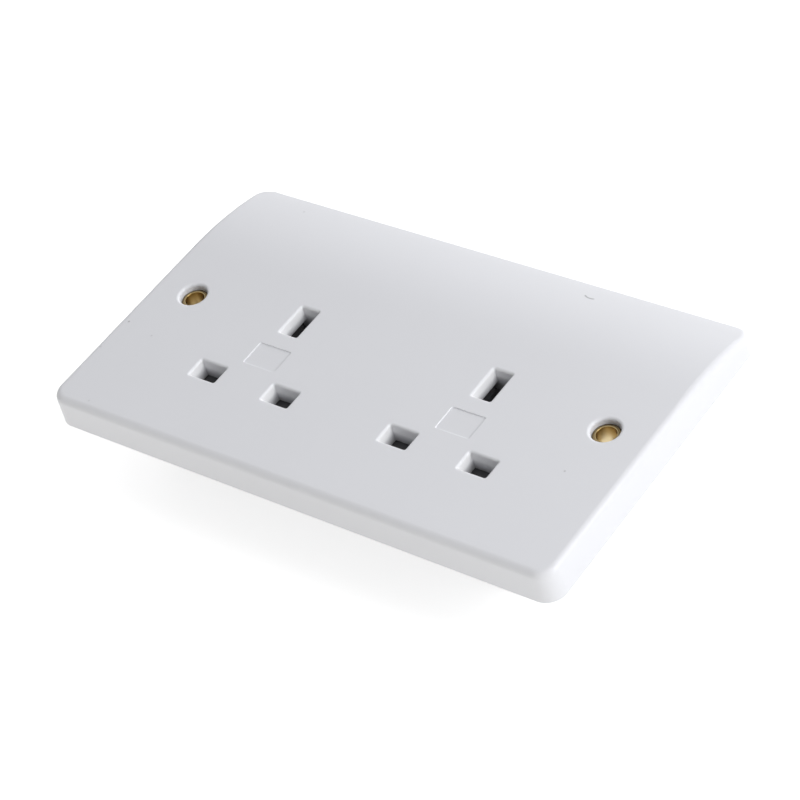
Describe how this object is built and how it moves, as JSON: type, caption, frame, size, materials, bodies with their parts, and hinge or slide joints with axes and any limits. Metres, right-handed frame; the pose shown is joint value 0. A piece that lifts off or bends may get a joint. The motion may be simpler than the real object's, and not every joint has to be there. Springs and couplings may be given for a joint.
{
  "type": "twin socket outlet",
  "caption": "Two-gang unswitched wall socket outlet for plugs with three rectangular pins, with sprung shutters, rear housing and screw terminals",
  "frame": {"origin": "under the middle of the faceplate, on the surface that the back of the rear housing rests on", "axes": "+X to the plate's right, +Y to its top edge (earth pins above line and neutral), +Z out of the face"},
  "size_m": [0.146, 0.086, 0.026],
  "materials": {
    "plate": "moulded thermoset, semi-gloss white",
    "housing": "moulded thermoset, dull black",
    "cover": "moulded, dull black",
    "shutter": "moulded, satin dark grey",
    "eyelet": "turned and rolled brass, slightly tarnished",
    "contact_brass": "pressed brass strip",
    "terminal_screw": "zinc-plated steel",
    "housing_screw": "zinc-plated steel",
    "spring_wire": "drawn stainless wire"
  },
  "bodies": {
    "socket_body": {"faceplate": "plate", "rear_housing": "housing", "contact_cover": "cover", "eyelet_left": "eyelet", "earth_strap_left": "contact_brass", "eyelet_right": "eyelet", "earth_strap_right": "contact_brass", "shutter_spring_left": "spring_wire", "line_contact_left": "contact_brass", "neutral_contact_left": "contact_brass", "earth_contact_left": "contact_brass", "shutter_spring_right": "spring_wire", "line_contact_right": "contact_brass", "neutral_contact_right": "contact_brass", "earth_contact_right": "contact_brass", "line_busbar": "contact_brass", "neutral_busbar": "contact_brass", "earth_busbar": "contact_brass", "line_terminal": "contact_brass", "neutral_terminal": "contact_brass", "earth_terminal_left": "contact_brass", "earth_terminal_right": "contact_brass", "housing_screws": "housing_screw"},
    "shutter_left": {"shutter_left": "shutter"},
    "shutter_right": {"shutter_right": "shutter"},
    "line_terminal_screw": {"line_terminal_screw": "terminal_screw"},
    "neutral_terminal_screw": {"neutral_terminal_screw": "terminal_screw"},
    "earth_terminal_screw_left": {"earth_terminal_screw_left": "terminal_screw"},
    "earth_terminal_screw_right": {"earth_terminal_screw_right": "terminal_screw"}
  },
  "joints": [
    {"name": "shutter_left_slide", "type": "slide", "parent": "socket_body", "child": "shutter_left", "axis": [0, -1, 0], "range_m": [0, 0.0062], "stiffness_N_per_m": 120, "springref_m": -0.003, "deforming": ["shutter_spring_left"]},
    {"name": "shutter_right_slide", "type": "slide", "parent": "socket_body", "child": "shutter_right", "axis": [0, -1, 0], "range_m": [0, 0.0062], "stiffness_N_per_m": 120, "springref_m": -0.003, "deforming": ["shutter_spring_right"]},
    {"name": "line_terminal_screw_drive", "type": "slide", "parent": "socket_body", "child": "line_terminal_screw", "axis": [0, 0, 1], "range_m": [0, 0.0032]},
    {"name": "neutral_terminal_screw_drive", "type": "slide", "parent": "socket_body", "child": "neutral_terminal_screw", "axis": [0, 0, 1], "range_m": [0, 0.0032]},
    {"name": "earth_terminal_screw_left_drive", "type": "slide", "parent": "socket_body", "child": "earth_terminal_screw_left", "axis": [0, 0, 1], "range_m": [0, 0.0032]},
    {"name": "earth_terminal_screw_right_drive", "type": "slide", "parent": "socket_body", "child": "earth_terminal_screw_right", "axis": [0, 0, 1], "range_m": [0, 0.0032]}
  ]
}
